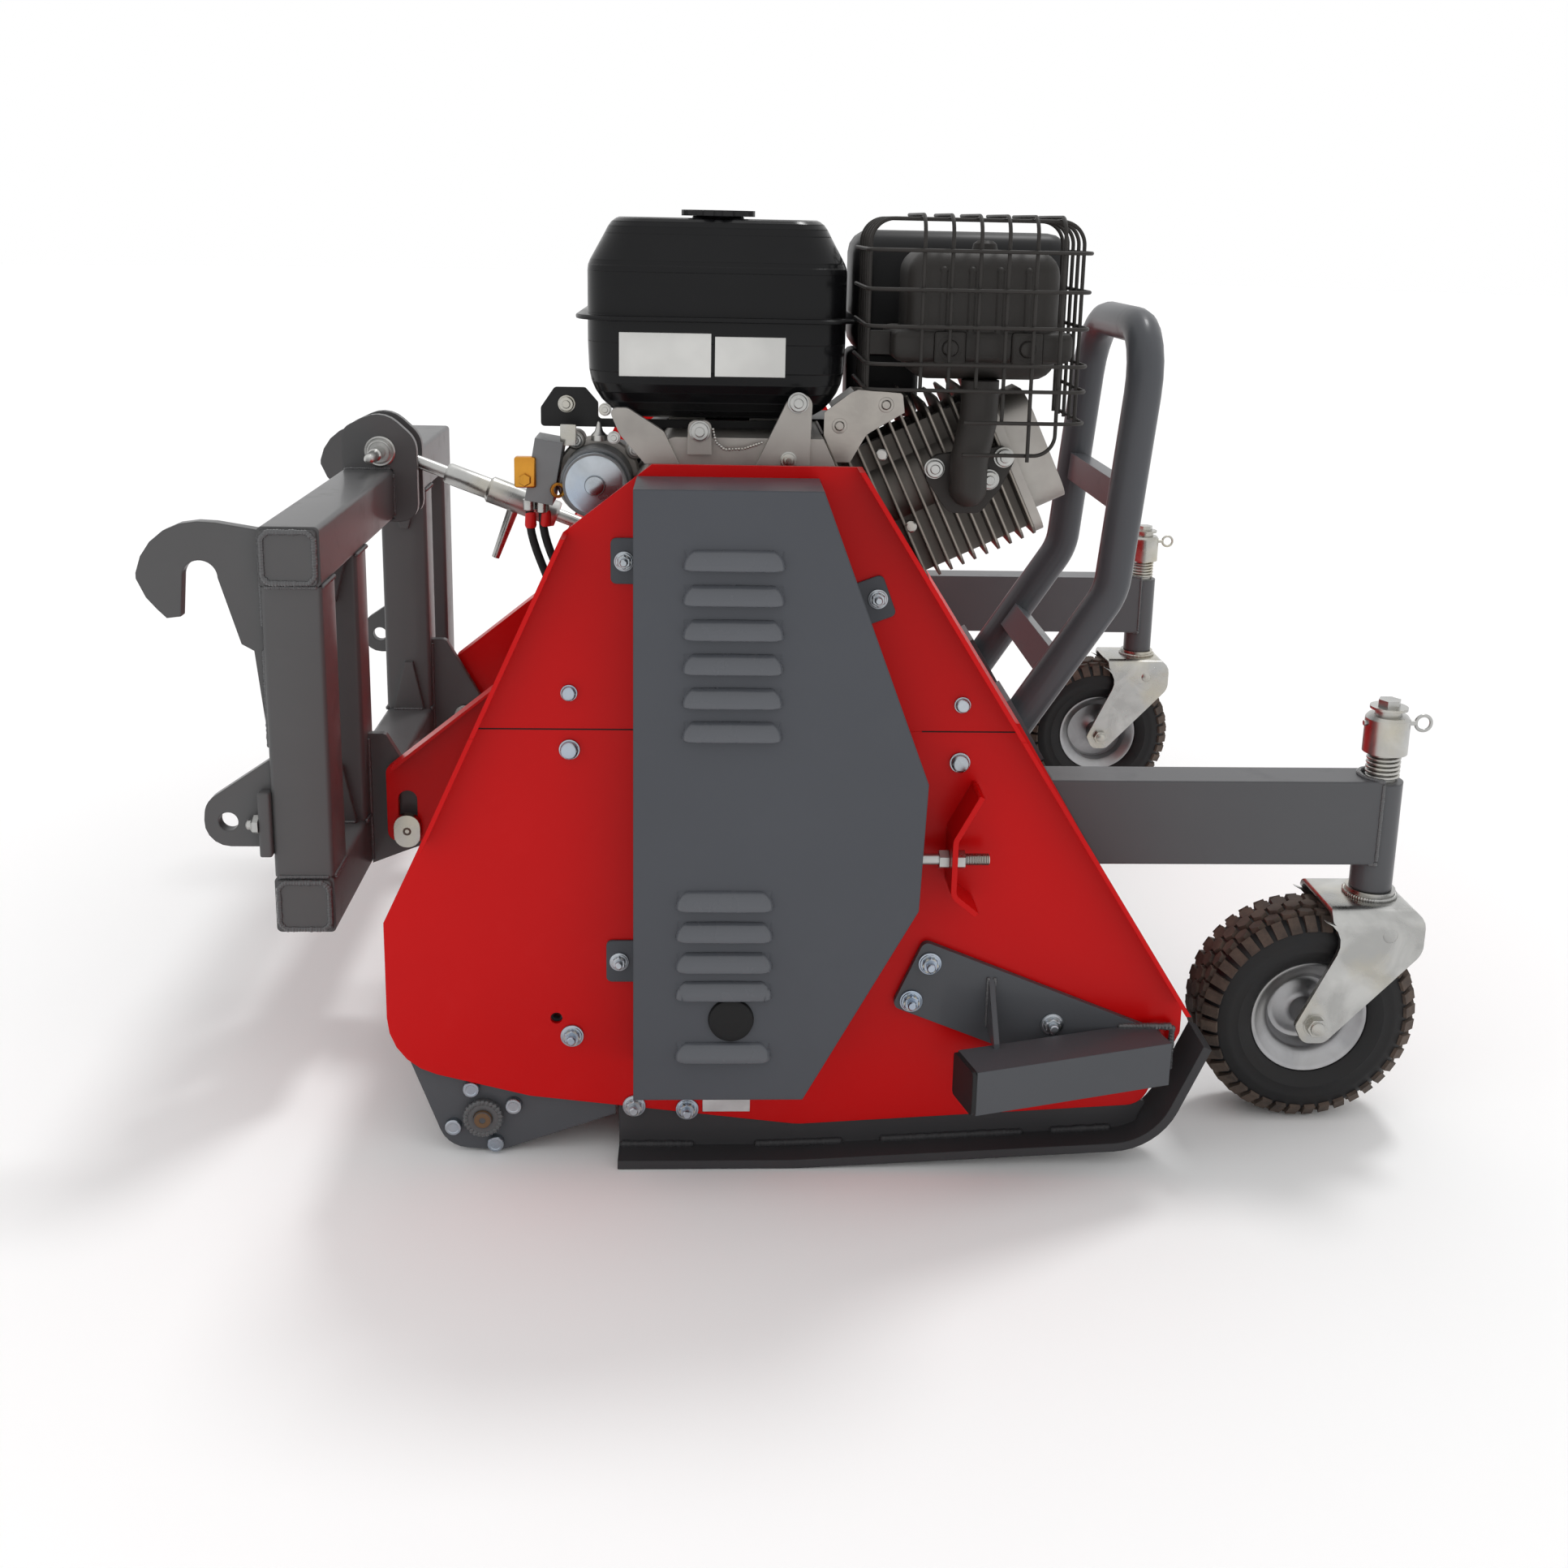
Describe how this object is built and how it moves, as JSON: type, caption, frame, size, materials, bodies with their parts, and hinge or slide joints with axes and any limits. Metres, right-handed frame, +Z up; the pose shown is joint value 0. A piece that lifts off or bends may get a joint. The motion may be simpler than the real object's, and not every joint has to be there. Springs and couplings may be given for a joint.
{
  "type": "brush mower",
  "caption": "Front-mounted flail brush mower for a compact loader, with its own engine and belt drive, a hooked hitch frame with a top link, swivelling caster wheels, side skids and a bull bar.",
  "frame": {"origin": "on the ground, under the middle of the bounding box", "axes": "+X the way the mower drives, from the hitch to the caster wheels; +Y its left side; +Z up. The rest pose stands on level ground with the casters trailing."},
  "size_m": [1.489, 1.4424, 1.037],
  "materials": {
    "red_paint": "gloss powder coat",
    "slate_paint": "satin powder coat",
    "hitch_paint": "satin powder coat",
    "zinc_plate": "zinc plated",
    "black_rubber": "matte",
    "tyre_rubber": "matte with moulded blocks",
    "black_plastic": "satin",
    "cast_iron": "as cast",
    "rotor_steel": "satin",
    "flail_steel": "forged",
    "cast_alloy": "as cast",
    "fin_alloy": "as cast, dark",
    "tank_black": "semi-gloss",
    "heat_black": "heat-resistant matte",
    "motor_grey": "satin",
    "panel_black": "satin"
  },
  "bodies": {
    "deck": {"deck_shell": "red_paint", "side_plate_right": "red_paint", "side_plate_left": "red_paint", "upper_plate_right": "red_paint", "upper_plate_left": "red_paint", "deck_lugs": "red_paint", "deck_bolts": "zinc_plate", "front_flap": "black_rubber", "tension_strap": "red_paint", "belt_guard": "slate_paint", "skid_right": "slate_paint", "skid_left": "slate_paint", "deflector_arm": "slate_paint", "arm_cap": "black_plastic", "bull_bar": "slate_paint", "link_bracket": "red_paint", "flange_bearings": "cast_iron", "drive_belts": "black_rubber", "roller_brackets": "slate_paint", "caster_arms": "slate_paint", "spindle_springs": "zinc_plate", "crankcase": "cast_alloy", "engine_cylinder": "fin_alloy", "valve_cover": "cast_alloy", "blower_housing": "black_plastic", "fuel_tank": "tank_black", "tank_brackets": "cast_alloy", "air_cleaner": "black_plastic", "muffler": "heat_black", "exhaust_pipe": "heat_black", "muffler_cage": "heat_black", "starter_motor": "motor_grey", "starter_cables": "black_plastic", "control_panel": "panel_black"},
    "rotor": {"rotor": "rotor_steel", "rotor_pulley": "cast_iron"},
    "flails_a": {"flails_a": "flail_steel"},
    "flails_b": {"flails_b": "flail_steel"},
    "flails_c": {"flails_c": "flail_steel"},
    "crank": {"crank_pulley": "cast_iron"},
    "idler_arm": {"idler_arm": "slate_paint"},
    "idler_pulley": {"idler_pulley": "cast_iron"},
    "tension_bolt": {"tension_bolt": "zinc_plate"},
    "rear_roller": {"rear_roller": "slate_paint"},
    "fork_right": {"fork_right": "zinc_plate", "collar_right": "zinc_plate"},
    "fork_left": {"fork_left": "zinc_plate", "collar_left": "zinc_plate"},
    "wheel_right": {"rim_right": "zinc_plate", "tyre_right": "tyre_rubber"},
    "wheel_left": {"rim_left": "zinc_plate", "tyre_left": "tyre_rubber"},
    "hitch_pins": {"hitch_pins": "zinc_plate"},
    "hitch": {"hitch_frame": "hitch_paint", "hitch_hooks": "hitch_paint", "link_pin": "zinc_plate"},
    "link": {"link_rod": "zinc_plate"},
    "sleeve": {"link_sleeve": "zinc_plate"},
    "guard_plug": {"guard_plug": "black_rubber"},
    "fuel_cap": {"fuel_cap": "black_plastic"}
  },
  "joints": [
    {"name": "rotor_spin", "type": "hinge", "parent": "deck", "child": "rotor", "pos_m": [-0.0645, 0.03673, 0.21], "axis": [0, 1, 0], "continuous": true},
    {"name": "flails_a_swing", "type": "hinge", "parent": "rotor", "child": "flails_a", "pos_m": [-0.0645, 0.03673, 0.128], "axis": [0, 1, 0], "range_deg": [-120, 120]},
    {"name": "flails_b_swing", "type": "hinge", "parent": "rotor", "child": "flails_b", "pos_m": [0.00651, 0.03673, 0.251], "axis": [0, 1, 0], "range_deg": [-245, 5]},
    {"name": "flails_c_swing", "type": "hinge", "parent": "rotor", "child": "flails_c", "pos_m": [-0.13551, 0.03673, 0.251], "axis": [0, 1, 0], "range_deg": [-5, 245]},
    {"name": "crank_spin", "type": "hinge", "parent": "deck", "child": "crank", "pos_m": [-0.0525, 0.03673, 0.665], "axis": [0, 1, 0], "continuous": true},
    {"name": "idler_swing", "type": "hinge", "parent": "deck", "child": "idler_arm", "pos_m": [0.0792, -0.62477, 0.474], "axis": [0, -1, 0], "range_deg": [0, 8]},
    {"name": "idler_spin", "type": "hinge", "parent": "idler_arm", "child": "idler_pulley", "pos_m": [0.0412, -0.65377, 0.4], "axis": [0, 1, 0], "continuous": true},
    {"name": "tension_screw", "type": "slide", "parent": "deck", "child": "tension_bolt", "axis": [1, 0, 0], "range_m": [0, 0.0165]},
    {"name": "roller_spin", "type": "hinge", "parent": "deck", "child": "rear_roller", "pos_m": [-0.3375, 0.03673, 0.0452], "axis": [0, 1, 0], "continuous": true},
    {"name": "caster_right_swivel", "type": "hinge", "parent": "deck", "child": "fork_right", "pos_m": [0.6855, -0.50477, 0.3], "axis": [0, 0, 1], "continuous": true},
    {"name": "wheel_right_spin", "type": "hinge", "parent": "fork_right", "child": "wheel_right", "pos_m": [0.6145, -0.50477, 0.13], "axis": [0, 1, 0], "continuous": true},
    {"name": "caster_left_swivel", "type": "hinge", "parent": "deck", "child": "fork_left", "pos_m": [0.6855, 0.57823, 0.3], "axis": [0, 0, 1], "continuous": true},
    {"name": "wheel_left_spin", "type": "hinge", "parent": "fork_left", "child": "wheel_left", "pos_m": [0.6145, 0.57823, 0.13], "axis": [0, 1, 0], "continuous": true},
    {"name": "hitch_float", "type": "slide", "parent": "deck", "child": "hitch_pins", "axis": [0, 0, 1], "range_m": [0, 0.04]},
    {"name": "hitch_swing", "type": "hinge", "parent": "hitch_pins", "child": "hitch", "pos_m": [-0.4825, 0.03673, 0.24], "axis": [0, 1, 0], "range_deg": [0, 2.5]},
    {"name": "link_swing", "type": "hinge", "parent": "hitch", "child": "link", "pos_m": [-0.5505, 0.03673, 0.703], "axis": [0, 1, 0], "range_deg": [0, 6]},
    {"name": "sleeve_turn", "type": "hinge", "parent": "link", "child": "sleeve", "pos_m": [-0.36334, 0.03673, 0.6325], "axis": [0.9358, 0, -0.3525], "continuous": true},
    {"name": "plug_pull", "type": "slide", "parent": "deck", "child": "guard_plug", "axis": [0, -1, 0], "range_m": [0, 0.03]},
    {"name": "cap_lift", "type": "slide", "parent": "deck", "child": "fuel_cap", "axis": [0, 0, 1], "range_m": [0, 0.04]}
  ],
  "couplings": [
    {"joint": "crank_spin", "follows": "rotor_spin", "ratio": 1.4396},
    {"joint": "idler_spin", "follows": "rotor_spin", "ratio": -1.8986},
    {"joint": "tension_screw", "follows": "idler_swing", "m_per_rad": 0.115},
    {"joint": "hitch_swing", "follows": "hitch_float", "rad_per_m": 1.0576},
    {"joint": "link_swing", "follows": "hitch_float", "rad_per_m": 2.5941}
  ]
}
